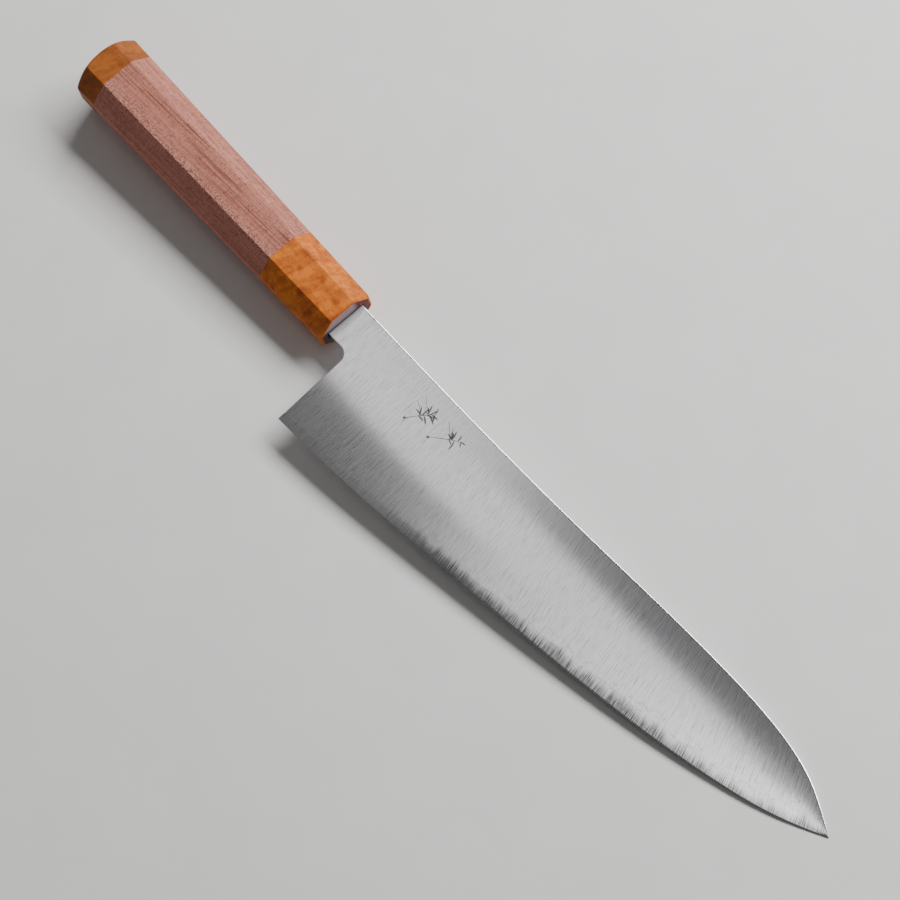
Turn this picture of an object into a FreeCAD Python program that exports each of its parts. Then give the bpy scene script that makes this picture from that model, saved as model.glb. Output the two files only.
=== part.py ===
import FreeCAD, Part
import math
import os
from FreeCAD import Vector

# A Japanese style chef's knife, in millimetres. Every piece is made in the knife's own axes: X along the
# handle's axis from the ferrule's front face (x = 0) to the tip, Y from the cutting edge up to the spine, Z
# through the blade's thickness. At the end all of them are laid down together, as the knife rests on its side
# on a flat surface.

# blade: x, height of the spine line, height of the edge line, thickness at the spine
blade_stations = [
    (11.0, 7.8, -40.7, 3.2),
    (40.0, 7.9, -39.25, 2.9),
    (76.0, 8.35, -35.95, 2.6),
    (112.0, 9.4, -32.0, 2.3),
    (150.0, 11.15, -27.15, 2.0),
    (186.0, 12.2, -21.45, 1.7),
    (212.0, 11.3, -15.85, 1.35),
    (234.0, 6.8, -9.25, 1.0),
    (251.0, -1.6, -1.6, 0.6),
]
edge_thickness = 0.24
bevel_belly = 0.62        # share of the spine's thickness that is left at half the blade's height
core_thickness = 0.72     # the hard layer; it comes out between the claddings where the bevel gets this thin
choil_x = 10.1
notch_radius = 4.0

# neck and tang
neck_top = 7.8
neck_bottom = -7.75
neck_thickness = 3.5
neck_depth = 5.0          # how far the full-height neck goes into the ferrule
tang_height = 9.0
tang_end_height = 5.0
tang_end_thickness = 2.2
tang_length = 100.0

# handle: width runs from edge side to spine side, depth from face to face
handle_length = 137.9      # to the top of the domed butt
ferrule_length = 32.9
cap_length = 13.3
front_width, butt_width = 22.6, 27.0
front_depth, butt_depth = 18.9, 22.9
front_corner, butt_corner = 5.9, 6.8      # size of the 45 degree corners of the octagon
edge_radius = 0.5         # of the eight long edges, the ferrule's front rim and the rim of the dome
butt_dome_radius = 26.0

# joinery inside the handle
fit_gap = 0.25            # between the neck and the walls of the ferrule's mouth
mouth_depth = neck_depth + 0.5
wall_behind_mouth = 2.8
front_dowel_diameter = 13.0
front_dowel_end = 62.0
mortise_height = tang_height + 0.4
mortise_thickness = neck_thickness + 0.3
tang_hole_diameter = 8.0
tang_hole_end = tang_length + 3.0
rear_dowel_diameter = 9.0
rear_dowel_front = 112.0
rear_dowel_end = 130.0
fill_recess = 0.8         # the resin stops this far inside the ferrule's front face

# working allowances
overrun = 1.0             # how far a cutter runs on past the face that it cuts
outline_room = 6.0        # how far the blade's sections run on past its spine and edge
stock_half = 10.0         # half the thickness of the stock that the blank is trimmed from
far = 400.0               # further out than any piece

front_dowel_start = mouth_depth + wall_behind_mouth
body_start = ferrule_length
cap_start = handle_length - cap_length


def box(x0, x1, y0, y1, z0, z1):
    """A block between two corners."""
    return Part.makeBox(x1 - x0, y1 - y0, z1 - z0, Vector(x0, y0, z0))


def rod(x0, x1, diameter):
    """A round rod along the handle's axis."""
    return Part.makeCylinder(diameter / 2, x1 - x0, Vector(x0, 0, 0), Vector(1, 0, 0))


def spline(points):
    curve = Part.BSplineCurve()
    curve.interpolate(points)
    return curve.toShape()


def line(a, b):
    return Part.LineSegment(Vector(*a), Vector(*b)).toShape()


def steel_outline():
    """Side view of blade, neck and tang: a closed wire in the XY plane."""
    spine = [Vector(x, top, 0) for x, top, _, _ in blade_stations]
    edge = [Vector(x, low, 0) for x, _, low, _ in blade_stations]
    heel = (blade_stations[0][0], blade_stations[0][2], 0)
    spine_start = (blade_stations[0][0], neck_top, 0)
    notch_x = choil_x - notch_radius
    middle = notch_radius * math.sqrt(0.5)
    notch = Part.Arc(
        Vector(notch_x, neck_bottom, 0),
        Vector(notch_x + middle, neck_bottom - notch_radius + middle, 0),
        Vector(choil_x, neck_bottom - notch_radius, 0),
    ).toShape()
    edges = [
        spline(spine),
        spline(edge[::-1]),
        line(heel, (choil_x, neck_bottom - notch_radius, 0)),
        notch,
        line((notch_x, neck_bottom, 0), (-neck_depth, neck_bottom, 0)),
        line((-neck_depth, neck_bottom, 0), (-neck_depth, -tang_height / 2, 0)),
        line((-neck_depth, -tang_height / 2, 0), (-tang_length, -tang_end_height / 2, 0)),
        line((-tang_length, -tang_end_height / 2, 0), (-tang_length, tang_end_height / 2, 0)),
        line((-tang_length, tang_end_height / 2, 0), (-neck_depth, tang_height / 2, 0)),
        line((-neck_depth, tang_height / 2, 0), (-neck_depth, neck_top, 0)),
        line((-neck_depth, neck_top, 0), spine_start),
    ]
    return Part.Wire(Part.__sortEdges__(edges))


def bevel_section(x, top, low, half_top, half_middle, half_low):
    """Cross-section of the ground blade, run on past the spine and the edge so that the outline trims it."""
    middle = (top + low) / 2
    side = [
        (low - outline_room, half_low),
        (low, half_low),
        (middle, half_middle),
        (top, half_top),
        (top + outline_room, half_top),
    ]
    ring = side + [(y, -z) for y, z in side[::-1]]
    points = [Vector(x, y, z) for y, z in ring]
    return Part.makePolygon(points + points[:1])


def ground_blade():
    """The tapered wedge of the blade, thinner towards the edge and towards the tip."""
    sections = []
    for x, top, low, thickness in blade_stations:
        half = thickness / 2
        if top == low:      # at the tip the section keeps a little height
            top, low = top + edge_thickness, low - edge_thickness
        sections.append(bevel_section(x, top, low, half, half * bevel_belly, edge_thickness / 2))
    return Part.makeLoft(sections, True, False)


def neck_and_tang():
    """The flat neck, the tapered tang, and the short stretch where the neck turns into the ground blade."""
    x, top, low, thickness = blade_stations[0]
    half = thickness / 2
    flat = neck_thickness / 2
    end = tang_end_thickness / 2
    ground = bevel_section(x, top, low, half, half * bevel_belly, edge_thickness / 2)
    neck = bevel_section(0.0, top, low, flat, flat, flat)
    tip = bevel_section(-tang_length, top, low, end, end, end)
    return Part.makeLoft([tip, neck], True, True).fuse(Part.makeLoft([neck, ground], True, True))


def steel():
    """The whole blank, before it is split into its three layers."""
    plate = Part.Face(steel_outline()).extrude(Vector(0, 0, 2 * stock_half))
    plate.translate(Vector(0, 0, -stock_half))
    return ground_blade().fuse(neck_and_tang()).common(plate).removeSplitter()


def layer(blank, z0, z1):
    """One layer of the blank, between two heights across its thickness."""
    return blank.common(box(-far, far, -far, far, z0, z1)).removeSplitter()


def octagon(x):
    """The eight corners of the handle's cross-section at x, from the front (0) to the butt (-handle_length)."""
    share = -x / handle_length
    width = front_width + (butt_width - front_width) * share
    depth = front_depth + (butt_depth - front_depth) * share
    corner = front_corner + (butt_corner - front_corner) * share
    y, z = width / 2, depth / 2
    half = [(y, z - corner), (y - corner, z), (corner - y, z), (-y, z - corner)]
    ring = half + [(-a, -b) for a, b in half]
    return [Vector(x, a, b) for a, b in ring]


def flat_face(corners):
    return Part.Face(Part.makePolygon(corners + corners[:1]))


def handle_block(start, end):
    """A stretch of the tapered octagon, still with sharp edges."""
    front, back = octagon(-start), octagon(-end)
    faces = [flat_face(front), flat_face(back)]
    for i in range(len(front)):
        faces.append(flat_face([front[i - 1], front[i], back[i], back[i - 1]]))
    block = Part.makeSolid(Part.makeShell(faces))
    if block.Volume < 0:
        block.reverse()
    return block


def eased(block, rim=()):
    """The block with its eight long edges eased, and the edges of its rim too."""
    long_edges = [e for e in block.Edges if e.BoundBox.XLength > cap_length / 2]
    return block.makeFillet(edge_radius, long_edges + list(rim))


def mouth():
    """The pocket in the ferrule's front that takes the neck."""
    return box(-mouth_depth, overrun, neck_bottom - fit_gap, neck_top + fit_gap,
               -neck_thickness / 2 - fit_gap, neck_thickness / 2 + fit_gap)


def mortise():
    """The slot for the tang, through the wall behind the mouth and through the front dowel."""
    return box(-front_dowel_end, -mouth_depth + overrun / 2, -mortise_height / 2, mortise_height / 2,
               -mortise_thickness / 2, mortise_thickness / 2)


def tang_hole():
    return rod(-tang_hole_end, -front_dowel_end, tang_hole_diameter)


def ferrule():
    block = handle_block(0.0, ferrule_length)
    front = max(block.Faces, key=lambda face: face.CenterOfMass.x)
    block = eased(block, front.Edges)
    bore = rod(-ferrule_length - overrun, -front_dowel_start, front_dowel_diameter)
    return block.cut(bore).cut(mouth()).cut(mortise())


def handle_body():
    block = eased(handle_block(body_start, cap_start))
    front_bore = rod(-front_dowel_end, -body_start + overrun, front_dowel_diameter)
    rear_bore = rod(-cap_start - overrun, -rear_dowel_front, rear_dowel_diameter)
    return block.cut(front_bore).cut(tang_hole()).cut(rear_bore)


def end_cap():
    """The last block of the handle, turned to a dome at the butt."""
    centre = Vector(butt_dome_radius - handle_length, 0, 0)
    dome = Part.makeSphere(butt_dome_radius, centre, Vector(-1, 0, 0))
    block = handle_block(cap_start, handle_length).common(dome)
    domed = min(block.Faces, key=lambda face: face.CenterOfMass.x)
    block = eased(block, domed.Edges)
    return block.cut(rod(-rear_dowel_end, -cap_start + overrun, rear_dowel_diameter))


def front_dowel():
    return rod(-front_dowel_end, -front_dowel_start, front_dowel_diameter).cut(mortise())


def rear_dowel():
    return rod(-rear_dowel_end, -rear_dowel_front, rear_dowel_diameter)


def tang_adhesive(blank):
    """Resin that fills the mouth, the mortise and the tang's hole round the steel."""
    cavity = mouth().fuse(mortise()).fuse(tang_hole())
    front = box(-fill_recess, overrun + fill_recess, -far, far, -far, far)
    return cavity.cut(front).cut(blank).removeSplitter()


def resting_turn():
    """The knife lies on the ferrule's front rim and on the tip, so the handle's axis dips to the tip."""
    tip_x = blade_stations[-1][0]
    dip = math.atan2(front_depth / 2 - edge_thickness / 2, tip_x)
    return FreeCAD.Placement(Vector(), FreeCAD.Rotation(Vector(0, 1, 0), math.degrees(dip)))


def lay_down(shapes):
    """Lays all pieces down, and moves the centre of the underside of their common box to the origin."""
    turn = resting_turn()
    for shape in shapes.values():
        shape.Placement = turn.multiply(shape.Placement)
    room = Part.makeCompound(list(shapes.values())).optimalBoundingBox(False, False)
    shift = Vector(-(room.XMin + room.XMax) / 2, -(room.YMin + room.YMax) / 2, -room.ZMin)
    for shape in shapes.values():
        shape.translate(shift)
    print("dip in degrees", math.degrees(turn.Rotation.Angle), "shift", shift)
    print("size", room.XLength, room.YLength, room.ZLength)


def main():
    blank = steel()
    half_core = core_thickness / 2
    pieces = {
        "core_steel": layer(blank, -half_core, half_core),
        "cladding_upper": layer(blank, half_core, stock_half),
        "cladding_lower": layer(blank, -stock_half, -half_core),
        "ferrule": ferrule(),
        "handle_body": handle_body(),
        "end_cap": end_cap(),
        "front_dowel": front_dowel(),
        "rear_dowel": rear_dowel(),
        "tang_adhesive": tang_adhesive(blank),
    }
    os.makedirs("parts", exist_ok=True)
    lay_down(pieces)
    for name, shape in pieces.items():
        print(name, shape.isValid(), len(shape.Solids), round(shape.Volume, 1), shape.BoundBox)
        shape.exportStep("parts/" + name + ".step")


main()
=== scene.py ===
import bmesh
import bpy
import math
import numpy as np
from mathutils import Matrix, Vector


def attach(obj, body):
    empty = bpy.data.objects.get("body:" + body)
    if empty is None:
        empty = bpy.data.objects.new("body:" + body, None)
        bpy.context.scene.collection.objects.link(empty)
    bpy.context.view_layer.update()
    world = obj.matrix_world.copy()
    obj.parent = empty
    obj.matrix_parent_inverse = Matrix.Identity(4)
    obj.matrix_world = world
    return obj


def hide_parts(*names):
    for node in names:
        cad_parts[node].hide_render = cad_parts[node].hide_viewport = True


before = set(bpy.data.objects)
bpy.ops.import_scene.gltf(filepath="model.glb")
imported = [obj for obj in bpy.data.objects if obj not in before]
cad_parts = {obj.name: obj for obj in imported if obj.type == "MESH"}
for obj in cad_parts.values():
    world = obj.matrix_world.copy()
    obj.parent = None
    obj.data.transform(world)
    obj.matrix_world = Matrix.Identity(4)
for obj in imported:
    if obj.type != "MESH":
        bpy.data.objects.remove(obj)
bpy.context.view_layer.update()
mm = 0.001

# The knife is drawn in its own axes, in millimetres: x from the ferrule's front face to the tip, y from the
# cutting edge up to the spine, z through the blade. Then every point is laid down as the frame has it.
lay = {
    "dip": 2.12878,                         # degrees that the handle's axis dips towards the tip
    "start": (-56.5055, 13.6321, 9.5718),   # where the ferrule's front centre comes to lie, mm
}


def layDown(points):
    # a turn by the dip about y, then the shift
    dip = math.radians(lay["dip"])
    x, y, z = points[..., 0], points[..., 1], points[..., 2]
    turned = np.stack([x * math.cos(dip) + z * math.sin(dip), y, z * math.cos(dip) - x * math.sin(dip)], -1)
    return (turned + np.array(lay["start"])) * mm


def splineThrough(points, count):
    # natural cubic through the points, by distance along them; each span is a cubic with second slopes m
    p = np.array(points, float)
    s = np.concatenate([[0], np.cumsum(np.hypot(*np.diff(p, axis=0).T))])
    h = np.diff(s)
    n = len(s)
    a = np.eye(n)
    b = np.zeros((n, 2))
    k = np.arange(1, n - 1)
    a[k, k - 1], a[k, k], a[k, k + 1] = h[:-1], 2 * (h[:-1] + h[1:]), h[1:]
    b[k] = 6 * (np.diff(p, axis=0)[1:] / h[1:, None] - np.diff(p, axis=0)[:-1] / h[:-1, None])
    m = np.linalg.solve(a, b)
    t = np.linspace(0, s[-1], count)
    i = np.clip(np.searchsorted(s, t, side="right") - 1, 0, n - 2)
    u, w, hi = (s[i + 1] - t)[:, None], (t - s[i])[:, None], h[i][:, None]
    return ((m[i] * u ** 3 + m[i + 1] * w ** 3) / (6 * hi)
            + (p[i] / hi - m[i] * hi / 6) * u + (p[i + 1] / hi - m[i + 1] * hi / 6) * w)


def smooth(t):
    # 3 t squared less 2 t cubed, level at both ends
    t = np.clip(t, 0, 1)
    return t * t * (3 - 2 * t)


def ripple(x, seed, lengths, sizes):
    # sum of value noises along x: each has random knots a given length apart, joined smoothly
    knotCount, firstKnot = 4096, 1000
    total = np.zeros_like(x)
    for number, (length, size) in enumerate(zip(lengths, sizes)):
        knots = np.random.default_rng(seed + number).uniform(-1, 1, knotCount)
        at = x / length + firstKnot
        i = np.floor(at).astype(int)
        f = smooth(at - i)
        total += size * (knots[i] * (1 - f) + knots[i + 1] * f)
    return total


def gridFaces(rows, columns, wrapRows=False, wrapColumns=False):
    # quads over a grid whose points are numbered row by row
    i = np.arange(rows if wrapRows else rows - 1)
    j = np.arange(columns if wrapColumns else columns - 1)
    i, j = np.meshgrid(i, j, indexing="ij")
    ni, nj = (i + 1) % rows, (j + 1) % columns
    corners = [i * columns + j, i * columns + nj, ni * columns + nj, ni * columns + j]
    return np.stack(corners, -1).reshape(-1, 4)


def openEdges(faces):
    # the edges that only one quad uses, without those that have no length
    edges = np.concatenate([faces[:, [k, (k + 1) % 4]] for k in range(4)])
    pairs, uses = np.unique(np.sort(edges, 1), axis=0, return_counts=True)
    return pairs[(uses == 1) & (pairs[:, 0] != pairs[:, 1])]


def closePlate(flat, upper, lower, faces, rim):
    # a closed plate between two height fields over one flat net: both sides, and a wall along the rim
    count = len(flat)
    points = np.concatenate([np.column_stack([flat, upper]), np.column_stack([flat, lower])])
    wall = np.column_stack([rim[:, 0], rim[:, 1], rim[:, 1] + count, rim[:, 0] + count])
    return points, np.concatenate([faces, faces[:, ::-1] + count, wall])


def makePiece(name, points, faces, material, nodes=(), uv=None, marks=None, sharp=35.0):
    # A mesh laid down in the frame. Its doubles are merged, and its faces turned outwards. Edges that bend
    # by more than sharp degrees stay crisp.
    mergeWithin, leastEdge = 2e-7, 1e-7     # metres
    mesh = bpy.data.meshes.new(name)
    vertices = layDown(np.asarray(points, float).reshape(-1, 3))
    mesh.from_pydata(vertices.tolist(), [], np.asarray(faces).tolist())
    if uv is not None:
        layer = mesh.uv_layers.new(name="along")
        corner = np.zeros(len(mesh.loops), int)
        mesh.loops.foreach_get("vertex_index", corner)
        layer.data.foreach_set("uv", np.asarray(uv, float).reshape(-1, 2)[corner].ravel())
    for key, values in (marks or {}).items():
        attribute = mesh.attributes.new(key, "FLOAT", "POINT")
        attribute.data.foreach_set("value", np.asarray(values, float).ravel())
    work = bmesh.new()
    work.from_mesh(mesh)
    bmesh.ops.remove_doubles(work, verts=work.verts, dist=mergeWithin)
    bmesh.ops.dissolve_degenerate(work, edges=work.edges, dist=leastEdge)
    bmesh.ops.recalc_face_normals(work, faces=work.faces)
    work.to_mesh(mesh)
    work.free()
    mesh.shade_smooth()
    mesh.set_sharp_from_angle(angle=math.radians(sharp))
    mesh.materials.append(material)
    piece = bpy.data.objects.new(name, mesh)
    bpy.context.scene.collection.objects.link(piece)
    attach(piece, "root")
    if nodes:
        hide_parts(*nodes)
    return piece


class Nodes:
    # short ways to add and join shader nodes
    def __init__(self, name):
        self.material = bpy.data.materials.new(name)
        self.material.use_nodes = True
        self.tree = self.material.node_tree
        self.shader = self.tree.nodes["Principled BSDF"]

    def add(self, kind, **settings):
        node = self.tree.nodes.new(kind)
        for key, value in settings.items():
            if hasattr(node, key):
                setattr(node, key, value)
            else:
                node.inputs[key.replace("_", " ")].default_value = value
        return node

    def join(self, source, target):
        self.tree.links.new(source, target)

    def knifeAxes(self, turn=0.0):
        # Object coordinates brought back to the knife's own axes, in mm, and turned about z if asked
        where = self.add("ShaderNodeTexCoord")
        back = self.add("ShaderNodeMapping")
        dip = math.radians(lay["dip"])
        x, y, z = lay["start"]
        back.inputs["Rotation"].default_value = (0, -dip, 0)
        back.inputs["Scale"].default_value = (1 / mm, 1 / mm, 1 / mm)
        back.inputs["Location"].default_value = (z * math.sin(dip) - x * math.cos(dip), -y,
                                                 -z * math.cos(dip) - x * math.sin(dip))
        self.join(where.outputs["Object"], back.inputs["Vector"])
        if not turn:
            return back.outputs["Vector"]
        spun = self.add("ShaderNodeMapping")
        spun.inputs["Rotation"].default_value = (0, 0, turn)
        self.join(back.outputs["Vector"], spun.inputs["Vector"])
        return spun.outputs["Vector"]

    def split(self, vector):
        node = self.add("ShaderNodeSeparateXYZ")
        self.join(vector, node.inputs[0])
        return node.outputs

    def noise(self, vector, pattern):
        # a pattern is its waves per mm along each axis, its shift, detail, roughness and distortion
        scale, shift, detail, roughness, distortion = pattern
        mapping = self.add("ShaderNodeMapping")
        mapping.inputs["Scale"].default_value = scale
        mapping.inputs["Location"].default_value = shift
        self.join(vector, mapping.inputs["Vector"])
        node = self.add("ShaderNodeTexNoise", Scale=1.0, Detail=detail, Roughness=roughness,
                        Distortion=distortion)
        self.join(mapping.outputs["Vector"], node.inputs["Vector"])
        return node.outputs["Fac"]

    def ramp(self, value, stops, span=None):
        # eased steps between stops; each stop is a share of the span, and a grey or a colour
        node = self.add("ShaderNodeValToRGB")
        node.color_ramp.interpolation = "EASE"
        while len(node.color_ramp.elements) < len(stops):
            node.color_ramp.elements.new(0.5)
        for element, (position, colour) in zip(node.color_ramp.elements, stops):
            element.position = position
            element.color = (*colour, 1) if hasattr(colour, "__len__") else (colour, colour, colour, 1)
        self.join(self.maths("DIVIDE", value, span) if span else value, node.inputs["Fac"])
        return node.outputs["Color"]

    def mix(self, amount, a, b, way="MIX"):
        node = self.add("ShaderNodeMix", data_type="RGBA", blend_type=way)
        targets = [s for s in node.inputs if s.enabled]
        for socket, value in zip(targets, (amount, a, b)):
            if isinstance(value, bpy.types.NodeSocket):
                self.join(value, socket)
            elif hasattr(value, "__len__"):
                socket.default_value = (*value, 1)
            else:
                socket.default_value = value
        return [s for s in node.outputs if s.enabled][0]

    def times(self, a, b):
        # product of two values or colours; a plain number counts as a grey
        return self.mix(1.0, a, (b,) * 3 if isinstance(b, float) else b, "MULTIPLY")

    def maths(self, way, a, b=0.0):
        node = self.add("ShaderNodeMath", operation=way)
        for socket, value in zip(node.inputs, (a, b)):
            if isinstance(value, bpy.types.NodeSocket):
                self.join(value, socket)
            else:
                socket.default_value = value
        return node.outputs[0]

    def bump(self, height, bumpSize):
        strength, distance = bumpSize
        node = self.add("ShaderNodeBump", Strength=strength, Distance=distance)
        self.join(height, node.inputs["Height"])
        self.join(node.outputs["Normal"], self.shader.inputs["Normal"])

    def set(self, **values):
        for key, value in values.items():
            self.shader.inputs[key.replace("_", " ")].default_value = value


satin = {
    "tone": (0.885, 0.875, 0.90),
    "toneLow": (0.53, 0.52, 0.55),      # the darkest hairlines
    "toneHigh": (0.97, 0.97, 0.98),     # the lightest ones
    "coreShade": 0.93,          # the bare hard steel is a little darker
    "streakShade": 0.12,        # darkest streaks beside the cladding line
    "streakReach": 5.3,         # how high above the edge the streaks end, mm
    "streakFade": 5.0,          # height over which each one fades out, mm
    "tipDrop": 1.7,             # how much lower they end at the tip, mm
    "combHeight": 5.0,          # how much a streak's height varies from line to line, mm
    "swellHeight": 8.0,         # and in slow waves along the blade, mm
    "seamTone": (0.3, 0.3, 0.31),
    "seamStrength": 0.22,
    "outlineShade": 0.74,       # wavy outlines of the forged layers
    "outlineBand": 12.0,        # height above the edge that they lie within, mm
    "length": 250.0,            # what shares along the blade are taken of, mm
    "roughness": 0.105,
    "roughSpread": 0.016,
    "bump": (0.015, 0.000004),  # strength, and height in metres
    "anisotropy": 0.9,
    "neckMirror": 0.45,         # how much of the steel beside the ferrule mirrors
    # waves per mm across and along the hairlines, shift, detail, roughness, distortion
    "fine": ((7.0, 0.22, 1), (0, 0, 0), 1.0, 0.6, 0.0),
    "middle": ((4.2, 0.05, 1), (40, 3, 0), 2.0, 0.7, 0.0),
    "cut": ((3.4, 0.16, 1), (11, 7, 0), 1.0, 0.55, 0.0),
    "comb": ((2.2, 0.03, 1), (90, 2, 0), 2.0, 0.6, 0.0),
    "swell": ((0.15, 0.02, 1), (7, 9, 0), 2.0, 0.55, 0.0),
    "teeth": ((3.6, 0.06, 1), (31, 6, 0), 1.0, 0.6, 0.0),
    "cloud": ((0.10, 0.26, 1), (3, 5, 0), 2.0, 0.55, 0.4),
}


def layeredSteel(name, shade):
    # Hairlines run from the edge to the spine. The map along them has u across the lines and v up each one.
    n = Nodes(name)
    lines = n.add("ShaderNodeUVMap", uv_map="along").outputs["UV"]
    u, v, _ = n.split(lines)
    middle = n.noise(lines, satin["middle"])
    grain = n.mix(0.5, n.noise(lines, satin["fine"]), middle)
    tone = n.ramp(grain, [(0.36, satin["toneLow"]), (0.50, satin["tone"]), (0.62, satin["toneHigh"])])
    bright = n.ramp(n.noise(lines, satin["cut"]), [(0.62, 0.0), (0.70, 0.8)])
    tone = n.mix(bright, tone, (1.0, 1.0, 1.0))
    # Dark and light streaks beside the cladding line. Each rises from the edge to a height of its own, which
    # is the reach plus the comb's and the swell's parts about their means, and it fades out near there.
    comb = n.maths("MULTIPLY", n.noise(lines, satin["comb"]), satin["combHeight"])
    swell = n.maths("MULTIPLY", n.noise(lines, satin["swell"]), satin["swellHeight"])
    base = satin["streakReach"] - (satin["combHeight"] + satin["swellHeight"]) / 2
    tipDrop = n.ramp(u, [(0.68, 0.0), (0.88, 1.0)], satin["length"])
    foot = n.maths("ADD", v, n.maths("MULTIPLY", tipDrop, satin["tipDrop"]))
    depth = n.maths("SUBTRACT", n.maths("ADD", n.maths("ADD", comb, swell), base), foot)
    under = n.ramp(depth, [(0.0, 0.0), (0.75, 1.0)], satin["streakFade"])
    teeth = n.ramp(n.noise(lines, satin["teeth"]), [(0.38, 0.2), (0.56, 1.0)])
    towardsTip = n.ramp(u, [(0.2, 0.0), (0.38, 1.0)], satin["length"])
    nearEdge = n.ramp(v, [(0.15, 0.5), (0.6, 1.0)])
    streak = n.times(n.times(under, teeth), n.times(towardsTip, nearEdge))
    tone = n.mix(streak, tone, n.times(tone, satin["streakShade"]))
    # the cladding line itself shows only as a faint darker seam
    above = n.add("ShaderNodeAttribute", attribute_name="aboveLine", attribute_type="GEOMETRY")
    fromLine = n.maths("ADD", n.maths("MULTIPLY", above.outputs["Fac"], 0.5), 0.5)
    seam = n.ramp(fromLine, [(0.4, 0.0), (0.5, satin["seamStrength"]), (0.6, 0.0)])
    tone = n.mix(n.times(seam, towardsTip), tone, satin["seamTone"])
    # wavy outlines where the layers were forged together
    outline = n.ramp(n.noise(lines, satin["cloud"]), [(0.48, 0.0), (0.5, 1.0), (0.52, 0.0)])
    band = n.ramp(v, [(0.2, 0.0), (0.35, 1.0), (0.55, 1.0), (0.75, 0.0)], satin["outlineBand"])
    outline = n.times(outline, n.times(band, towardsTip))
    tone = n.mix(outline, tone, n.times(tone, satin["outlineShade"]))
    n.join(n.times(tone, shade), n.shader.inputs["Base Color"])
    spread = n.maths("MULTIPLY", middle, satin["roughSpread"])
    rough = n.maths("ADD", spread, satin["roughness"] - satin["roughSpread"] / 2)
    n.join(rough, n.shader.inputs["Roughness"])
    n.bump(middle, satin["bump"])
    tangent = n.add("ShaderNodeTangent", direction_type="UV_MAP", uv_map="along")
    n.join(tangent.outputs["Tangent"], n.shader.inputs["Tangent"])
    # beside the ferrule the steel is hazed, so it hardly mirrors the ferrule's front
    mirror = n.ramp(u, [(0.15, satin["neckMirror"]), (0.65, 1.0)], 10.0)
    n.join(mirror, n.shader.inputs["Metallic"])
    n.set(Anisotropic=satin["anisotropy"])
    return n.material


claddingSteel = layeredSteel("claddingSteel", 1.0)
coreSteel = layeredSteel("coreSteel", satin["coreShade"])

amber = {
    "ferrule": ((0.66, 0.18, 0.020), (0.34, 0.070, 0.010)),    # lit and deep tones
    # the cap's tones are darker than the ferrule's, painted shade for the light falling off towards the butt
    "cap": ((0.345, 0.101, 0.018), (0.21, 0.055, 0.011)),
    # the front face from the mouth up to its outer edge, then the spine side: painted shade, a painted
    # reflection of the neck, warm, painted shade
    "endGrainSheenAndShade": ((0.13, 0.085, 0.095), (0.46, 0.34, 0.38), (0.62, 0.30, 0.27), (0.14, 0.02, 0.015)),
    # painted shadow in the mouth and along its rim
    "mouthPaintedShadow": (0.012, 0.008, 0.008),
    "speckShade": 0.45,         # dark specks, as a share of the deep tone
    "flameSlant": 0.3,          # radians between the flame and the handle's axis
    "bump": (0.2, 0.00006),
    "blotch": ((0.20, 0.30, 0.30), (0, 0, 0), 4.0, 0.6, 0.4),
    "flame": ((0.36, 0.09, 0.2), (4, 1, 2), 3.0, 0.55, 0.5),
    "fibre": ((0.12, 3.2, 3.2), (0, 0, 0), 3.0, 0.6, 0.0),
    "speck": ((0.9, 2.4, 2.4), (2, 8, 5), 1.0, 0.55, 0.0),
    "rings": ((1, 0.5, 2.5), (0, 0, 0), 3.0, 0.55, 0.0),
}


def frontFace(n, tone):
    # End grain on the ferrule's front: its colour runs from painted shade by the mouth to a pale painted
    # reflection of the steel neck and warm at the outer edge, and turns to dark red painted shade towards the
    # spine. The mouth and its rim are painted near black, a painted shadow.
    axes = n.knifeAxes()
    x, y, z = n.split(axes)
    dim, pale, warm, spineSideShade = amber["endGrainSheenAndShade"]
    # painted shade low by the mouth, a pale painted reflection of the neck higher up, then warm wood at the
    # rim
    paintedLightUpward = n.ramp(z, [(0.26, dim), (0.52, pale), (0.66, pale), (0.84, warm)], 10.0)
    # dark red painted shade where the face turns to the spine
    face = n.mix(n.ramp(y, [(0.35, 0.0), (0.65, 1.0)], 10.0), paintedLightUpward, spineSideShade)
    rings = n.ramp(n.noise(axes, amber["rings"]), [(0.35, 0.3), (0.65, 1.0)])
    face = n.mix(0.35, face, n.times(face, rings))
    tone = n.mix(n.ramp(n.maths("ADD", x, 0.5), [(0.42, 0.0), (0.49, 1.0)]), tone, face)
    # painted shadow: the mouth and its rim are made near black
    within = n.ramp(n.maths("ABSOLUTE", z), [(0.22, 1.0), (0.28, 0.0)], 10.0)
    beside = n.ramp(n.maths("ABSOLUTE", y), [(0.82, 1.0), (0.86, 0.0)], 10.0)
    return n.mix(n.times(within, beside), tone, amber["mouthPaintedShadow"])


def amberWood(name, lit, deep, hasFront=False):
    # blotches, slanted flames and fine fibre, mixed into one figure that picks the tone; then dark specks
    n = Nodes(name)
    axes = n.knifeAxes()
    blotch = n.noise(axes, amber["blotch"])
    flame = n.noise(n.knifeAxes(amber["flameSlant"]), amber["flame"])
    fibre = n.noise(axes, amber["fibre"])
    figure = n.mix(0.2, n.mix(0.5, blotch, flame), fibre)
    between = tuple((a + b) / 2 for a, b in zip(lit, deep))
    tone = n.ramp(figure, [(0.39, deep), (0.49, between), (0.57, lit)])
    speck = n.ramp(n.noise(axes, amber["speck"]), [(0.27, 0.7), (0.33, 0.0)])
    tone = n.mix(speck, tone, tuple(c * amber["speckShade"] for c in deep))
    if hasFront:
        tone = frontFace(n, tone)
    n.join(tone, n.shader.inputs["Base Color"])
    n.bump(fibre, amber["bump"])
    n.set(Roughness=0.5, Specular_IOR_Level=0.16, Coat_Weight=0.04, Coat_Roughness=0.3)
    return n.material


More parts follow.
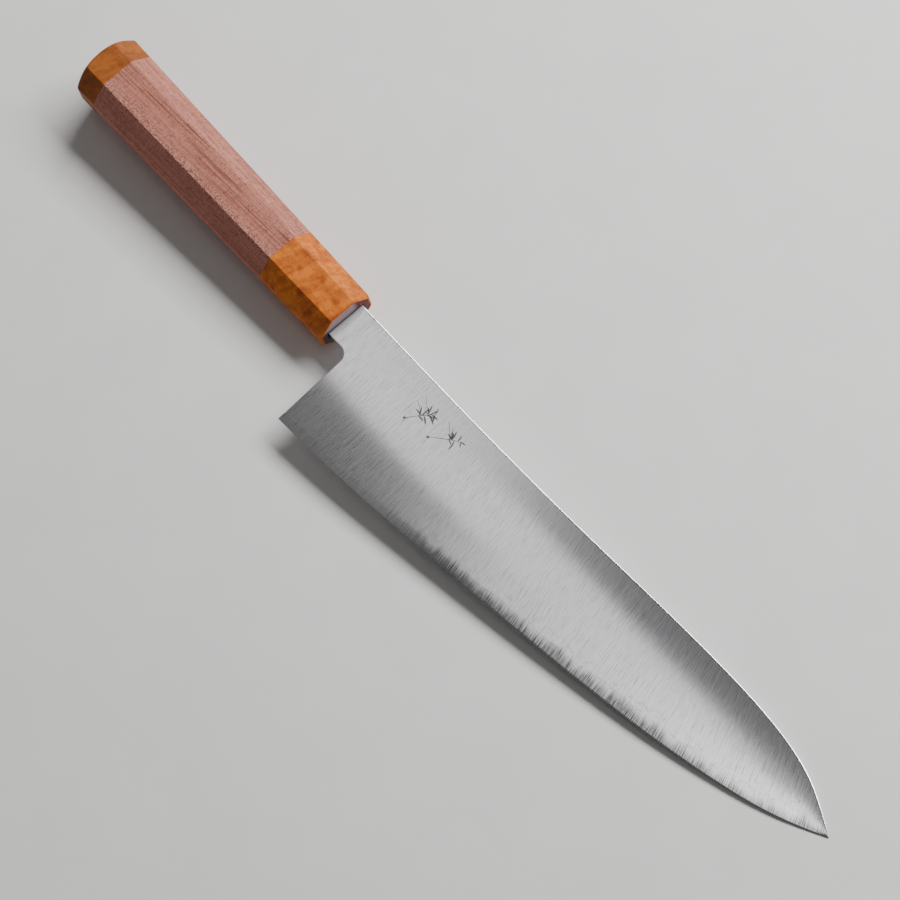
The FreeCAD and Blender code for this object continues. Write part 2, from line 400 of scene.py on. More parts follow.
brown = {
    "lit": (0.52, 0.205, 0.150),
    "mid": (0.36, 0.128, 0.090),
    "line": (0.17, 0.048, 0.034),
    "pore": (0.11, 0.04, 0.034),
    "poreRim": (0.70, 0.38, 0.32),
    "poreStrength": 0.8,
    "slant": -2.4,              # degrees between the grain and the handle's axis
    "bump": (0.5, 0.00015),
    "bands": ((0.012, 0.55, 0.55), (0, 0, 0), 4.0, 0.65, 0.2),
    "fibre": ((0.5, 4.0, 4.0), (0, 0, 0), 3.0, 0.75, 0.0),
    "cross": ((1.9, 0.35, 0.35), (6, 1, 4), 2.0, 0.6, 0.0),
    "lines": ((0.010, 1.7, 1.7), (3, 7, 1), 3.0, 0.6, 0.0),
    "dash": ((0.9, 4.4, 4.4), (5, 2, 1), 1.0, 0.55, 0.0),
    "pit": ((1.3, 2.6, 2.6), (8, 4, 6), 2.0, 0.7, 0.0),
}


def brownWood():
    # bands, fibre and a cross figure pick the tone; darker lines and open pores lie over it
    n = Nodes("brownWood")
    along = n.knifeAxes(math.radians(brown["slant"]))
    y = n.split(n.knifeAxes())[1]
    fibre = n.noise(along, brown["fibre"])
    figure = n.mix(0.3, n.mix(0.5, n.noise(along, brown["bands"]), fibre), n.noise(along, brown["cross"]))
    tint = n.ramp(figure, [(0.40, brown["mid"]), (0.58, brown["lit"])])
    # the darker lines are gathered on the spine side of the upper face
    lines = n.ramp(n.noise(along, brown["lines"]), [(0.38, 0.8), (0.50, 0.0)])
    gathered = n.ramp(n.maths("ADD", y, 14.0), [(0.3, 0.3), (0.62, 1.0), (0.9, 0.6)], 28.0)
    tint = n.mix(n.times(lines, gathered), tint, brown["line"])
    # open pores: short dashes, and a crowd of pits beside the edge side's upper corner
    pores = n.ramp(n.noise(along, brown["dash"]), [(0.33, 1.0), (0.41, 0.0)])
    pit = n.noise(along, brown["pit"])
    crowd = n.ramp(n.maths("ADD", y, 8.0), [(0.1, 0.0), (0.2, 1.0), (0.45, 0.7), (0.75, 0.0)], 8.0)
    pits = n.times(n.ramp(pit, [(0.41, 1.0), (0.47, 0.0)]), crowd)
    rims = n.times(n.ramp(pit, [(0.52, 0.0), (0.6, 0.5)]), crowd)
    tint = n.mix(rims, tint, brown["poreRim"])
    holes = n.mix(1.0, pores, pits, "ADD")
    tint = n.mix(n.times(holes, brown["poreStrength"]), tint, brown["pore"])
    n.join(tint, n.shader.inputs["Base Color"])
    solid = n.mix(1.0, (1.0, 1.0, 1.0), holes, "SUBTRACT")
    n.bump(n.mix(0.6, fibre, solid), brown["bump"])
    n.set(Roughness=0.6, Specular_IOR_Level=0.25)
    return n.material


ferruleWood = amberWood("ferruleWood", *amber["ferrule"], hasFront=True)
shadedCapWood = amberWood("shadedCapWood", *amber["cap"])
brownMaterial = brownWood()

plain = {
    # colour and roughness
    "darkResin": ((0.02, 0.014, 0.012), 0.5),
    "dowelWood": ((0.55, 0.4, 0.25), 0.7),
    "etchedLine": ((0.10, 0.10, 0.105), 0.5),
    "speck": ((0.9, 0.9, 0.9), (0, 0, 0), 2.0, 0.55, 0.0),
    "speckShade": 0.7,
}


def plainMaterial(name):
    # one colour with faint darker specks
    n = Nodes(name)
    tone, roughness = plain[name]
    dark = tuple(c * plain["speckShade"] for c in tone)
    speck = n.noise(n.knifeAxes(), plain["speck"])
    n.join(n.ramp(speck, [(0.3, dark), (0.7, tone)]), n.shader.inputs["Base Color"])
    n.set(Roughness=roughness)
    return n.material


resinMaterial = plainMaterial("darkResin")
dowelMaterial = plainMaterial("dowelWood")
markMaterial = plainMaterial("etchedLine")
print("materials ready")

blade = {
    # x, spine line, edge line, thickness at the spine
    "stations": [
        (11.0, 7.78, -40.68, 3.2), (40.0, 7.88, -39.23, 2.9), (76.0, 8.33, -35.93, 2.6),
        (112.0, 9.38, -31.98, 2.3), (150.0, 11.13, -27.13, 2.0), (186.0, 12.17, -21.43, 1.7),
        (212.0, 11.28, -15.83, 1.35), (234.0, 6.78, -9.23, 1.0), (250.98, -1.6, -1.6, 0.30),
    ],
    "edge": 0.16,               # thickness left at the cutting edge
    "roundness": (0.42, 0.85),  # how much the bevel bows out, at the heel and at the tip
    "leastHeight": 0.6,         # height that the bevel needs at the tip to reach its full thickness
    "choilX": 10.1,
    "notchRadius": 4.0,
    "neckTop": 7.78,
    "neckLow": -7.75,
    "neckThickness": 3.5,
    "neckDepth": 5.0,
    "tang": (100.0, 9.0, 5.0),  # length, height at the neck, height at the end
    "tangTaper": 0.65,          # thickness at the tang's end, as a share of the neck's
    "coreThickness": 0.72,
    "coreCover": 0.02,          # least depth of the core under the cladding's face
    "leastHalf": 0.012,         # least half thickness anywhere
    "spineEase": 0.40,
    "choilEase": 0.22,
    "easeFade": (12.0, 0.2),    # length over which the spine's rounding shrinks to this share at the tip
    "microBevel": (0.3, 0.012),     # height of the sharpened strip along the edge, and how far it falls
    "lineHeight": [(11, 3.0), (60, 3.2), (112, 4.2), (160, 5.0), (212, 4.6), (240, 2.6), (251, 0.2)],
    "lineRipple": ((46.0, 15.0, 6.0, 2.4, 1.1), (0.5, 0.8, 0.55, 0.3, 0.2)),
    "lineSeed": 11,
    "lineFade": 25.0,           # length over which the ripple dies out towards the tip
    "lineLimits": (0.25, 0.8),  # least height of the line, and its greatest share of the blade's height
    # how far the hairlines lean back from the upright, in degrees, along the edge
    "lean": [(11, 0), (45, 0), (80, 12), (130, 15), (160, 12), (190, 20), (215, 27), (245, 32)],
}

net = {
    "columns": 520,
    "choilColumns": (0, 0.04, 0.1, 0.17, 0.26, 0.4),    # first columns, close together beside the choil, mm
    "tipCrowding": 1.25,
    "rimRows": (0.03, 0.08, 0.15, 0.26, 0.42),          # rows close to an eased rim, mm
    "claddingRows": (26, 30),                           # below and above the notch
    "coreRows": (8, 8),
    "bareRows": 15,
    "tangColumns": 8,
    "neckColumns": 11,
    "notchColumns": 26,
    "splineSteps": 1500,
}

stations = np.array(blade["stations"])
spineLine = splineThrough(stations[:, [0, 1]], net["splineSteps"])
edgeLine = splineThrough(stations[:, [0, 2]], net["splineSteps"])
notchLow = blade["neckLow"] - blade["notchRadius"]
heelX = stations[0, 0]
tipX = stations[-1, 0]


def edgeAt(x):
    return np.interp(x, edgeLine[:, 0], edgeLine[:, 1])


def spineAt(x):
    return np.interp(x, spineLine[:, 0], spineLine[:, 1])


def lineHeight(x):
    # height of the cladding line above the edge: a slow curve with a ripple that dies out at the tip
    height = np.interp(x, *np.array(blade["lineHeight"]).T)
    waves = ripple(x, blade["lineSeed"], *blade["lineRipple"]) * smooth((tipX - x) / blade["lineFade"])
    return np.clip(height + waves, blade["lineLimits"][0], None)


def aboveLine(flat):
    return flat[:, 1] - edgeAt(flat[:, 0]) - lineHeight(flat[:, 0])


def hairlineMap(flat):
    # u is where a point's hairline leaves the edge, v its height above that foot; found by repeated guesses
    rounds = 15
    x, y = flat[:, 0], flat[:, 1]
    u = x.copy()
    for _ in range(rounds):
        lean = np.tan(np.radians(np.interp(u, *np.array(blade["lean"]).T)))
        u = x + (y - edgeAt(u)) * lean
    return np.column_stack([u, y - edgeAt(u)])


def bladeNet(lowerRows, upperRows):
    # A flat net over the blade. Columns run from the cladding line up to the spine. The first one follows
    # the choil, and the rest lean over evenly until the last is the tip. Rows are shares of that height, with
    # lowerRows below the notch and upperRows above it. The edge under each column is given too.
    s = np.linspace(0, 1, net["columns"])
    ease = np.array(net["choilColumns"]) / (tipX - heelX)
    t = np.concatenate([ease, ease[-1] + (1 - ease[-1]) * (1 - (1 - s[1:]) ** net["tipCrowding"])])
    lowX = heelX + t * (tipX - heelX)
    topX = blade["choilX"] + t * (tipX - blade["choilX"])
    lowY = edgeAt(lowX)
    topY = spineAt(topX)
    topY[topX < heelX] = blade["neckTop"]
    height = topY - lowY
    line = np.minimum(lineHeight(lowX), blade["lineLimits"][1] * height)
    foot = line / np.maximum(height, 1e-9)
    notchShare = (notchLow - lowY[0]) / height[0]
    split = (notchShare - foot[0]) / (1 - foot[0])
    rows = np.concatenate([lowerRows * split, split + upperRows * (1 - split)])
    share = foot[None, :] + (1 - foot)[None, :] * rows[:, None]
    lean = np.maximum(0, 1 - share / notchShare)
    return topX + (lowX - topX) * lean, lowY + height * share, lowX, lowY


def neckNet(upperRows):
    # Columns of the tang, and of the neck up to the notch's quarter round. Rows are the blade's upper rows.
    length, tall, end = blade["tang"]
    radius = blade["notchRadius"]
    tangX = np.linspace(-length, -blade["neckDepth"], net["tangColumns"])
    tangHalf = np.interp(tangX, [-length, -blade["neckDepth"]], [end / 2, tall / 2])
    angle = np.linspace(0, math.pi / 2, net["notchColumns"])
    arcX = blade["choilX"] - radius + radius * np.sin(angle)
    arcY = notchLow + radius * np.cos(angle)
    straight = np.linspace(-blade["neckDepth"], arcX[0], net["neckColumns"] + 1)[:-1]
    neckX = np.concatenate([straight, arcX])
    low = np.concatenate([-tangHalf, np.full(net["neckColumns"], blade["neckLow"]), arcY])
    top = np.concatenate([tangHalf, np.full(len(neckX), blade["neckTop"])])
    x = np.concatenate([tangX, neckX])
    y = low + (top - low) * upperRows[:, None]
    return np.broadcast_to(x, y.shape), y


def halfThickness(x, y):
    # Half of the ground blade's thickness: it grows from the edge to the spine by a bowed law, share times
    # (1 + k - k share), and past the choil it turns into the flat neck.
    at = np.clip(x, heelX, tipX)
    low = edgeAt(at)
    share = np.clip((y - low) / np.maximum(spineAt(at) - low, blade["leastHeight"]), 0, 1)
    thick = np.interp(at, stations[:, 0], stations[:, 3])
    bow = np.interp(at, [heelX, tipX], blade["roundness"])
    law = share * (1 + bow - bow * share)
    ground = blade["edge"] / 2 + (thick - blade["edge"]) / 2 * law
    taper = np.interp(x, [-blade["tang"][0], 0], [blade["tangTaper"], 1.0])
    toNeck = smooth((heelX - x) / heelX)
    return ground * (1 - toNeck) + blade["neckThickness"] / 2 * taper * toNeck


def easing(distance, radius):
    # a quarter round: how far the surface falls at a distance from the rim
    d = np.clip(distance, 0, radius)
    return radius - np.sqrt(np.maximum(radius ** 2 - (radius - d) ** 2, 0))


def rimFall(x, y):
    # the eased corner along the spine, and the smaller one along choil, notch and neck
    top = np.where(x < heelX, blade["neckTop"], spineAt(x))
    slope = np.gradient(spineLine[:, 1], spineLine[:, 0])
    fromSpine = (top - y) / np.sqrt(1 + np.interp(x, spineLine[:, 0], slope, left=0) ** 2)
    centre = (blade["choilX"] - blade["notchRadius"], notchLow)
    fromArc = np.hypot(x - centre[0], y - centre[1]) - blade["notchRadius"]
    drop = (notchLow - y) / (notchLow - stations[0, 2])
    fromChoil = x - (blade["choilX"] + (heelX - blade["choilX"]) * drop)
    fromNeck = y - blade["neckLow"]
    near = np.where(y < notchLow, fromChoil, np.where(x < centre[0], fromNeck, fromArc))
    fadeLength, tipShare = blade["easeFade"]
    fade = smooth((tipX - x) / fadeLength) * (1 - tipShare) + tipShare
    fall = easing(fromSpine / fade, blade["spineEase"]) * fade
    return np.where(x > -blade["neckDepth"], np.maximum(fall, easing(near, blade["choilEase"])), 0)


def coreHalf(x, y):
    # the hard layer's half thickness where cladding covers it
    return np.minimum(blade["coreThickness"] / 2, halfThickness(x, y) - rimFall(x, y) - blade["coreCover"])


def netRows(counts):
    # shares from 0 to 1 below the notch, and above it, where a few more rows lie close to the eased rims
    rim = np.array(net["rimRows"]) / (blade["neckTop"] - notchLow)
    upper = np.concatenate([np.linspace(0, 1, counts[1]), rim, 1 - rim])
    return np.linspace(0, 1, counts[0]).round(6)[:-1], np.unique(upper.round(6))


def joinNets(x, y, neckX, neckY, split):
    # one flat net out of the blade's grid and the neck's, which is beside the blade's rows above the notch
    rows, columns = x.shape
    neckFaces = gridFaces(rows - split, neckX.shape[1]) + rows * columns
    flat = np.concatenate([np.column_stack([x.ravel(), y.ravel()]),
                           np.column_stack([neckX.ravel(), neckY.ravel()])])
    return flat, np.concatenate([gridFaces(rows, columns), neckFaces])


def weldFlat(flat, faces):
    # merges net points that lie on each other, so that walls grow only along the true outline
    _, first, back = np.unique(flat.round(5), axis=0, return_index=True, return_inverse=True)
    kept = back.ravel()[faces]
    good = (np.diff(np.sort(kept, 1), axis=1) > 0).sum(1) >= 2
    return flat[first], kept[good], first


def bladePiece(name, flat, upperSide, lowerSide, faces, rim, material, node):
    # a plate of the blade, with the hairlines' map and each point's height above the cladding line
    points, allFaces = closePlate(flat, upperSide, lowerSide, faces, rim)
    marks = {"aboveLine": np.tile(aboveLine(flat), 2)}
    uv = np.tile(hairlineMap(flat), (2, 1))
    return makePiece(name, points, allFaces, material, [node], uv, marks)


def claddingPiece(name, side, node):
    # from the core's face out to the ground face, on the upper side (1) or the lower one (-1)
    lowerRows, upperRows = netRows(net["claddingRows"])
    x, y, _, _ = bladeNet(lowerRows, upperRows)
    flat, faces, _ = weldFlat(*joinNets(x, y, *neckNet(upperRows), len(lowerRows)))
    core = coreHalf(flat[:, 0], flat[:, 1])
    outer = halfThickness(flat[:, 0], flat[:, 1]) - rimFall(flat[:, 0], flat[:, 1])
    outer = np.maximum(outer, core + blade["leastHalf"])
    return bladePiece(name, flat, side * outer, side * core, faces, openEdges(faces), claddingSteel,
                      node)


def corePiece():
    # The whole height of the blade: the bare strip from the edge to the cladding line stands flush with the
    # cladding, and the covered part steps down under it.
    lowerRows, upperRows = netRows(net["coreRows"])
    x, y, lowX, lowY = bladeNet(lowerRows, upperRows)
    flat, faces = joinNets(x, y, *neckNet(upperRows), len(lowerRows))
    covered = coreHalf(flat[:, 0], flat[:, 1])
    bare = np.linspace(0, 1, net["bareRows"])[:, None]
    bareX = (lowX + (x[0] - lowX) * bare).ravel()
    bareY = (lowY + (y[0] - lowY) * bare).ravel()
    aboveEdge = bareY - np.tile(lowY, net["bareRows"])
    stripHeight, stripFall = blade["microBevel"]
    exposed = halfThickness(bareX, bareY) - stripFall * smooth(1 - aboveEdge / stripHeight)
    heights = np.concatenate([covered, np.maximum(exposed, blade["leastHalf"])])
    allFlat = np.concatenate([flat, np.column_stack([bareX, bareY])])
    columns = x.shape[1]
    allFaces = np.concatenate([faces, gridFaces(net["bareRows"], columns) + len(flat)])
    # the little step at the line joins the last bare row to the first covered row
    j = np.arange(columns - 1)
    last = len(allFlat) - columns
    step = np.column_stack([last + j, last + j + 1, j + 1, j])
    # the rim is found on the welded net, where the step has no width
    _, welded, first = weldFlat(allFlat, allFaces)
    return bladePiece("coreBlade", allFlat, heights, -heights, np.concatenate([allFaces, step]),
                      first[openEdges(welded)], coreSteel, "core_steel")


core = corePiece()
upper = claddingPiece("upperCladding", 1, "cladding_upper")
claddingPiece("lowerCladding", -1, "cladding_lower")
print("blade ready", len(core.data.polygons), len(upper.data.polygons))

sprigs = {
    # foot of the stem in mm, its turn in degrees from the knife's axis, its length in mm, its leaves
    "places": [((41.2, -9.2), 52.0, 12.0, "full"), ((52.1, -7.7), 37.0, 13.0, "sparse")],
    # share along the stem, angle from it in degrees, length as a share of the stem's, greatest width in mm
    "full": [
        (0.0, 20, 0.10, 0.90), (0.22, 205, 0.32, 0.22), (0.62, 80, 0.62, 0.20),
        (0.56, 102, 0.52, 0.20), (0.48, 68, 0.30, 0.55), (0.46, -55, 0.22, 0.60),
        (0.54, 124, 0.28, 0.50), (0.56, 38, 0.32, 0.60), (0.6, -84, 0.30, 0.65),
        (0.66, 56, 0.34, 0.60), (0.66, -32, 0.28, 0.60), (0.74, 98, 0.26, 0.50),
        (0.74, -72, 0.34, 0.65), (0.8, 24, 0.24, 0.50), (0.86, -48, 0.26, 0.55),
        (0.9, 52, 0.22, 0.50), (0.95, -104, 0.22, 0.55),
    ],
    "sparse": [
        (0.0, 10, 0.09, 0.90), (0.58, 104, 0.55, 0.20), (0.64, 86, 0.42, 0.20),
        (0.66, 98, 0.24, 0.75), (0.62, 62, 0.22, 0.60), (0.7, 132, 0.22, 0.60),
        (0.72, 74, 0.28, 0.60), (0.6, -60, 0.16, 0.50), (0.84, 62, 0.20, 0.50),
        (0.9, -24, 0.18, 0.50), (0.78, -112, 0.30, 0.55), (0.94, -80, 0.16, 0.50),
    ],
    "stemWidth": 0.26,
    "stemBend": 0.10,           # how far a stroke bows out, as a share of its length
    "leafBend": 0.2,
    "pointiness": 0.6,
    "steps": 14,
    "rise": 0.012,              # the strokes stand this far above the blade's face, mm
}


def strokePoints(start, angle, length, width, bend):
    # A stroke is a shallow arc of four-sided rings: its width follows (4 t (1 - t)) to the power of the
    # pointiness, so both ends are points. Two sides of each ring lie above the blade's face and two below.
    t = np.linspace(0, 1, sprigs["steps"])
    along = np.array([math.cos(angle), math.sin(angle)])
    across = np.array([-along[1], along[0]])
    centre = np.array(start) + length * (t[:, None] * along + bend * (t * (1 - t))[:, None] * across)
    half = (width / 2 * (4 * t * (1 - t)) ** sprigs["pointiness"])[:, None]
    left, right = centre + half * across, centre - half * across
    flat = np.stack([left, right, right, left], 1)
    lift = np.where(half > 0, [[sprigs["rise"]] * 2 + [-sprigs["rise"]] * 2], 0)
    return np.concatenate([flat, (halfThickness(flat[..., 0], flat[..., 1]) + lift)[..., None]], -1), centre


def sprigPiece():
    points, faces = [], []
    ring = gridFaces(sprigs["steps"], 4, wrapColumns=True)
    for foot, turn, size, leaves in sprigs["places"]:
        turn = math.radians(turn)
        stem, line = strokePoints(foot, turn, size, sprigs["stemWidth"], sprigs["stemBend"])
        strokes = [stem]
        for share, angle, length, width in sprigs[leaves]:
            start = line[round(share * (sprigs["steps"] - 1))]
            bend = -sprigs["leafBend"] if angle > 0 else sprigs["leafBend"]
            strokes.append(strokePoints(start, turn + math.radians(angle), length * size, width, bend)[0])
        for stroke in strokes:
            faces.append(ring + 4 * sprigs["steps"] * len(points))
            points.append(stroke)
    makePiece("sprigMark", np.concatenate(points), np.concatenate(faces), markMaterial)


sprigPiece()
print("mark ready")

handle = {
    "length": 137.9,            # to the top of the domed butt
    "ferrule": 32.9,
    "cap": 13.3,
    # edge side to spine side, face to face, and the 45 degree corners; at the front and at the butt
    "front": (22.6, 18.9, 5.9),
    "butt": (27.0, 22.9, 6.8),
    # rounding of the eight long edges, from the spine side's upper one round over the top
    "frontEdges": (0.7, 1.3, 0.4, 0.5, 0.5, 0.5, 0.5, 0.6),
    "buttEdges": (1.1, 2.4, 0.5, 0.6, 0.6, 0.6, 0.6, 0.8),
    "arcPoints": 7,
    "flatPoints": 7,
    "skin": 0.015,              # how far the surface lies inside the nominal octagon
    "frontRim": 1.2,
    "buttRim": 0.9,
    "dome": 26.0,               # radius of the butt's dome
    "seam": 0.05,
    "mouth": (8.0, -7.95, 2.0, 5.5),    # top, bottom, half thickness, depth
    "mouthEase": 0.12,
    "slotCorner": (0.6, 0.25),  # corner and rounding of the mouth and the mortise
    "wall": 2.8,
    "frontDowel": (13.0, 62.0),
    "tangHole": (8.0, 103.0),
    "rearDowel": (9.0, 112.0, 130.0),
    "mortise": (9.4, 3.7),
    # rings along each stretch
    "faceRings": 4,
    "frontFaceRings": 6,
    "rimRings": 9,
    "ferruleRings": 24,
    "bodyRings": 60,
    "capRings": 12,
    "buttRings": 10,
    "domeRings": 16,
}
ringCount = 8 * (handle["arcPoints"] + handle["flatPoints"])


def octagonRing(halfY, halfZ, corner, radii, centreY=0.0):
    # Outline of an octagon with eight rounded corners, as points in (y, z). Each corner is an arc of its
    # own radius, and each flat is a straight run to the next arc.
    s = halfY + halfZ - corner
    q = [(halfY, s - halfY), (s - halfZ, halfZ)]
    corners = q + [(-y, z) for y, z in q[::-1]] + [(-y, -z) for y, z in q] + [(y, -z) for y, z in q[::-1]]
    corners = np.array(corners)
    half = math.radians(22.5)
    turn = np.linspace(0, 2 * half, handle["arcPoints"])
    along = np.linspace(0, 1, handle["flatPoints"] + 2)[1:-1, None]
    points = []
    for k in range(8):
        here, after = corners[k], corners[(k + 1) % 8]
        into = (here - corners[k - 1]) / np.hypot(*(here - corners[k - 1]))
        out = (after - here) / np.hypot(*(after - here))
        inward = np.array([-into[1], into[0]])
        centre = here - into * radii[k] * math.tan(half) + inward * radii[k]
        arc = centre + radii[k] * np.column_stack([inward[1] * np.sin(turn) - inward[0] * np.cos(turn),
                                                   -inward[0] * np.sin(turn) - inward[1] * np.cos(turn)])
        flatEnd = after - out * radii[(k + 1) % 8] * math.tan(half)
        points += [arc, arc[-1] + (flatEnd - arc[-1]) * along]
    ring = np.concatenate(points)
    ring[:, 0] += centreY
    return ring


def roundRing(diameter):
    # a circle with as many points as an octagon's outline, begun at the same turn
    turn = math.radians(22.5) + np.arange(ringCount) * 2 * math.pi / ringCount
    return diameter / 2 * np.column_stack([np.cos(turn), np.sin(turn)])


def slotRing(top, low, half):
    corner, rounding = handle["slotCorner"]
    return octagonRing((top - low) / 2, half, corner, [rounding] * 8, centreY=(top + low) / 2)


def outerRing(x, inset=0.0):
    # The octagon tapers evenly, so a ring at any x is a mix of the front's ring and the butt's. x may differ
    # from point to point. Moving the faces in by d shortens a 45 degree corner by d (2 - root 2).
    d = inset + handle["skin"]
    ends = []
    for size, edges in (("front", "frontEdges"), ("butt", "buttEdges")):
        width, depth, corner = handle[size]
        corner -= d * (2 - math.sqrt(2))
        ends.append(octagonRing(width / 2 - d, depth / 2 - d, corner, handle[edges]))
    share = np.broadcast_to(-np.asarray(x, float) / handle["length"], ringCount)[:, None]
    return ends[0] + (ends[1] - ends[0]) * share


def turnedPiece(name, rings, material, nodes, wrap):
    # a skin over rings set along the handle's axis; wrapped round when the last ring meets the first
    points = np.concatenate([np.column_stack([np.broadcast_to(x, len(r)), r]) for x, r in rings])
    faces = gridFaces(len(rings), ringCount, wrapRows=wrap, wrapColumns=True)
    makePiece(name, points, faces, material, nodes, sharp=28.0)


def faceRings(x, outer, inner, count):
    # rings spread evenly over a flat face, without its two outlines
    return [(x, outer + (inner - outer) * share) for share in np.linspace(0, 1, count)[1:-1]]


def sideRings(start, end, count):
    return [(x, outerRing(x)) for x in np.linspace(start, end, count)]


def ferrulePiece():
    # From the front face round the rim and along the sides, over the back face, and through the dowel's
    # bore, the mortise and the mouth to the front again. The rim is a quarter round.
    back = -handle["ferrule"]
    top, low, half, deep = handle["mouth"]
    tall, thick = handle["mortise"]
    mouthRing, mortiseRing = slotRing(top, low, half), slotRing(tall / 2, -tall / 2, thick / 2)
    bore = roundRing(handle["frontDowel"][0])
    r = handle["frontRim"]
    angles = np.linspace(0, math.pi / 2, handle["rimRings"])
    rings = [(-r * (1 - math.cos(a)), outerRing(0, r * (1 - math.sin(a)))) for a in angles]
    frontRing = rings[0][1]
    rings += sideRings(-r, back + handle["seam"], handle["ferruleRings"])[1:]
    seamRing = outerRing(back, handle["seam"])
    rings += [(back, seamRing)] + faceRings(back, seamRing, bore, handle["faceRings"])
    shelf, ease = -deep - handle["wall"], handle["mouthEase"]
    rings += [(back, bore), (shelf, bore), (shelf, mortiseRing), (-deep, mortiseRing), (-deep, mouthRing),
              (-ease, mouthRing)]
    lip = slotRing(top + ease, low - ease, half + ease)
    rings += [(0.0, lip)] + faceRings(0.0, lip, frontRing, handle["frontFaceRings"])
    turnedPiece("ferrule", rings, ferruleWood, ["ferrule"], True)


def bodyPiece():
    # from the tang hole's end out to the front face, along the sides, and into the rear dowel's bore
    front, back = -handle["ferrule"], -handle["length"] + handle["cap"]
    bore, rear = roundRing(handle["frontDowel"][0]), roundRing(handle["rearDowel"][0])
    hole = roundRing(handle["tangHole"][0])
    boreEnd, holeEnd, rearEnd = -handle["frontDowel"][1], -handle["tangHole"][1], -handle["rearDowel"][1]
    pole = roundRing(0.0)
    rings = [(holeEnd, pole), (holeEnd, hole), (boreEnd, hole), (boreEnd, bore), (front, bore)]
    seamFront, seamBack = outerRing(front, handle["seam"]), outerRing(back, handle["seam"])
    rings += faceRings(front, bore, seamFront, handle["faceRings"]) + [(front, seamFront)]
    rings += sideRings(front - handle["seam"], back + handle["seam"], handle["bodyRings"])
    rings += [(back, seamBack)] + faceRings(back, seamBack, rear, handle["faceRings"])
    rings += [(back, rear), (rearEnd, rear), (rearEnd, pole)]
    turnedPiece("handleBody", rings, brownMaterial, ["handle_body"], False)


def domeX(ring):
    # where a sphere on the handle's axis has the ring's points
    radius = handle["dome"]
    return radius - handle["length"] - np.sqrt(radius ** 2 - (ring ** 2).sum(1))


def capPiece():
    # From the rear dowel's bore out to the front face, along the sides, and over the dome. The rim lies
    # where the flats meet the dome, and a quadratic curve from side to dome rounds it.
    front = -handle["length"] + handle["cap"]
    bore, _, boreEnd = handle["rearDowel"]
    rear, pole = roundRing(bore), roundRing(0.0)
    seamFront = outerRing(front, handle["seam"])
    rings = [(-boreEnd, pole), (-boreEnd, rear), (front, rear)]
    rings += faceRings(front, rear, seamFront, handle["faceRings"]) + [(front, seamFront)]
    rimX = domeX(outerRing(front - handle["cap"] * 0.75))
    corner = outerRing(rimX)
    r = handle["buttRim"]
    side, start = outerRing(rimX + r), rimX + r
    inner = corner * (1 - r / np.hypot(*corner.T))[:, None]
    first = front - handle["seam"]
    for t in np.linspace(0, 1, handle["capRings"])[:-1]:
        x = first + (start - first) * t
        rings.append((x, outerRing(x)))
    for t in np.linspace(0, 1, handle["buttRings"]):
        a, b, c = (1 - t) ** 2, 2 * t * (1 - t), t ** 2
        rings.append((a * start + b * rimX + c * domeX(inner), a * side + b * corner + c * inner))
    rings += [(domeX(inner * t), inner * t) for t in np.linspace(1, 0, handle["domeRings"])[1:]]
    turnedPiece("endCap", rings, shadedCapWood, ["end_cap"], False)


ferrulePiece()
bodyPiece()
capPiece()
hidden = {"front_dowel": dowelMaterial, "rear_dowel": dowelMaterial, "tang_adhesive": resinMaterial}
for nodeName, material in hidden.items():
    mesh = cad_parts[nodeName].data
    mesh.materials.clear()
    mesh.materials.append(material)
print("handle ready")

studio = {
    "floorTone": (0.80, 0.79, 0.775),
    "floorReach": 6.0,          # metres
    "floorGrain": ((0.04, 0.04, 0.04), (0, 0, 0), 4.0, 0.55, 0.0),
    # height on the sky from the horizon (0) to straight up (1), and the grey there
    "air": [(0.0, 0.36), (0.12, 0.20), (0.35, 0.125), (0.9, 0.152)],
    # name, place in metres, size in metres, power in watts
    "lights": [
        ("heelStrip", (-0.505, 0.119, 1.13), (0.39, 0.106), 0.102),
        ("bladeStrip", (-0.239, 0.078, 1.13), (0.142, 0.104), 0.037),
        ("middleStrip", (-0.130, 0.077, 1.13), (0.076, 0.104), 0.028),
        ("tipStrip", (0.035, 0.074, 1.13), (0.25, 0.090), 0.124),
        ("sideKey", (-0.05, 0.88, 0.84), (1.2, 0.45), 27.0),
    ],
}


def addFloor():
    mesh = bpy.data.meshes.new("floor")
    reach = studio["floorReach"]
    corners = [(-reach, -reach, 0), (reach, -reach, 0), (reach, reach, 0), (-reach, reach, 0)]
    mesh.from_pydata(corners, [], [(0, 1, 2, 3)])
    n = Nodes("paleFloor")
    grain = n.noise(n.knifeAxes(), studio["floorGrain"])
    tone = studio["floorTone"]
    dim = tuple(c * 0.97 for c in tone)
    n.join(n.ramp(grain, [(0.3, dim), (0.7, tone)]), n.shader.inputs["Base Color"])
    n.set(Roughness=0.6)
    mesh.materials.append(n.material)
    floor = bpy.data.objects.new("floor", mesh)
    bpy.context.scene.collection.objects.link(floor)


def addLight(name, place, size, power):
    # a strip faces straight down; the key faces the knife; the long side of each lies along x
    data = bpy.data.lights.new(name, "AREA")
    data.shape = "RECTANGLE"
    data.size, data.size_y = size
    data.energy = power
    light = bpy.data.objects.new(name, data)
    bpy.context.scene.collection.objects.link(light)
    light.location = place
    back = Vector((0, 0, 1)) if "Strip" in name else Vector((0, place[1], place[2])).normalized()
    across = Vector((1, 0, 0))
    light.rotation_mode = "QUATERNION"
    light.rotation_quaternion = Matrix((across, back.cross(across), back)).transposed().to_quaternion()


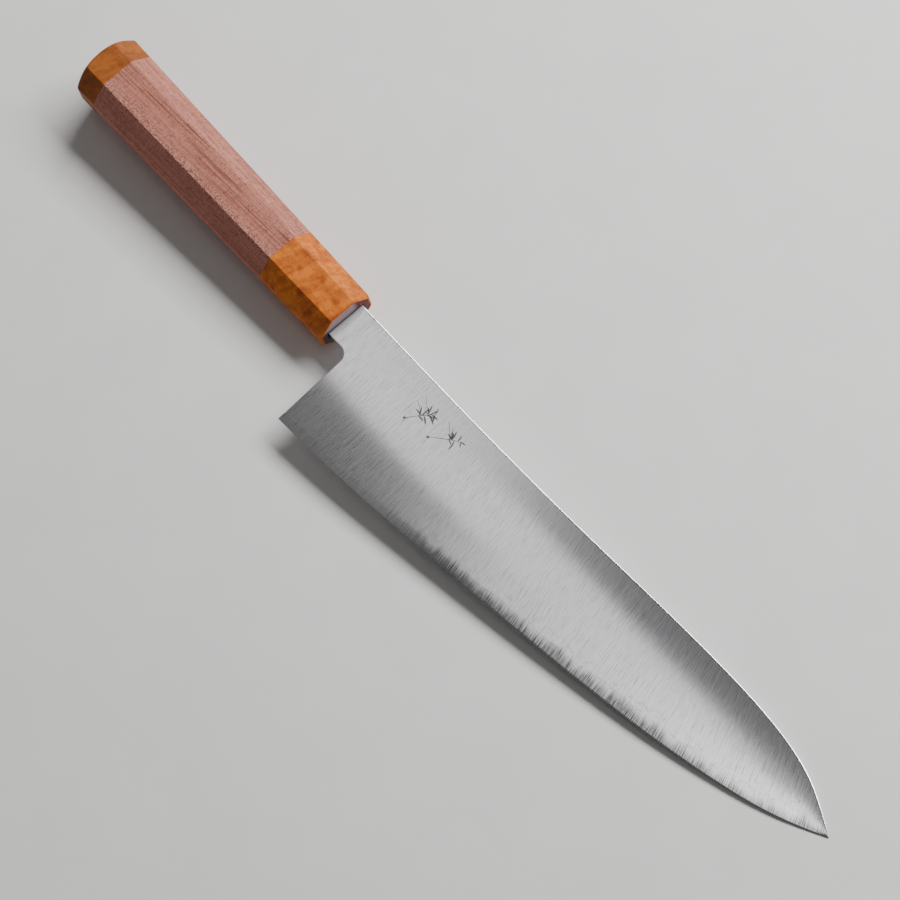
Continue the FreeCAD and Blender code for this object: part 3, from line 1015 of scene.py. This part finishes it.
camera = {
    "aim": (62.07, -5.03, 0.45),    # mm from the ferrule's front centre, along the frame's axes
    "distance": 1656.0,
    "azimuth": -71.56,          # from +y towards +x, degrees
    "elevation": 66.234,
    "roll": 23.634,
    "lens": 193.88,
    "sensor": 36.0,
    "clip": (0.01, 50.0),
}


def addCamera():
    # looks along a line given by azimuth and elevation, then rolls about it
    data = bpy.data.cameras.new("camera")
    data.sensor_width = camera["sensor"]
    data.lens = camera["lens"]
    data.clip_start, data.clip_end = camera["clip"]
    view = bpy.data.objects.new("camera", data)
    bpy.context.scene.collection.objects.link(view)
    azimuth, elevation, roll = (math.radians(camera[k]) for k in ("azimuth", "elevation", "roll"))
    forward = Vector((math.sin(azimuth) * math.cos(elevation), math.cos(azimuth) * math.cos(elevation),
                      -math.sin(elevation)))
    level = forward.cross(Vector((0, 0, 1))).normalized()
    up = level.cross(forward) * math.cos(roll) + level * math.sin(roll)
    right = forward.cross(up).normalized()
    aim = (Vector(camera["aim"]) + Vector(lay["start"])) * mm
    view.location = aim - forward * camera["distance"] * mm
    view.rotation_mode = "QUATERNION"
    view.rotation_quaternion = Matrix((right, up, -forward)).transposed().to_quaternion()
    bpy.context.scene.camera = view


def addAir():
    # the air's grey depends on the height of the direction that is looked in
    world = bpy.data.worlds.new("studioAir")
    world.use_nodes = True
    nodes, links = world.node_tree.nodes, world.node_tree.links
    where = nodes.new("ShaderNodeTexCoord")
    height = nodes.new("ShaderNodeSeparateXYZ")
    fade = nodes.new("ShaderNodeValToRGB")
    for _ in studio["air"][2:]:
        fade.color_ramp.elements.new(0.5)
    for element, (position, grey) in zip(fade.color_ramp.elements, studio["air"]):
        element.position = position
        element.color = (grey, grey, grey, 1)
    links.new(where.outputs["Generated"], height.inputs[0])
    links.new(height.outputs["Z"], fade.inputs["Fac"])
    links.new(fade.outputs["Color"], nodes["Background"].inputs["Color"])
    bpy.context.scene.world = world


addFloor()
for light in studio["lights"]:
    addLight(*light)
addCamera()
addAir()
print("studio ready")
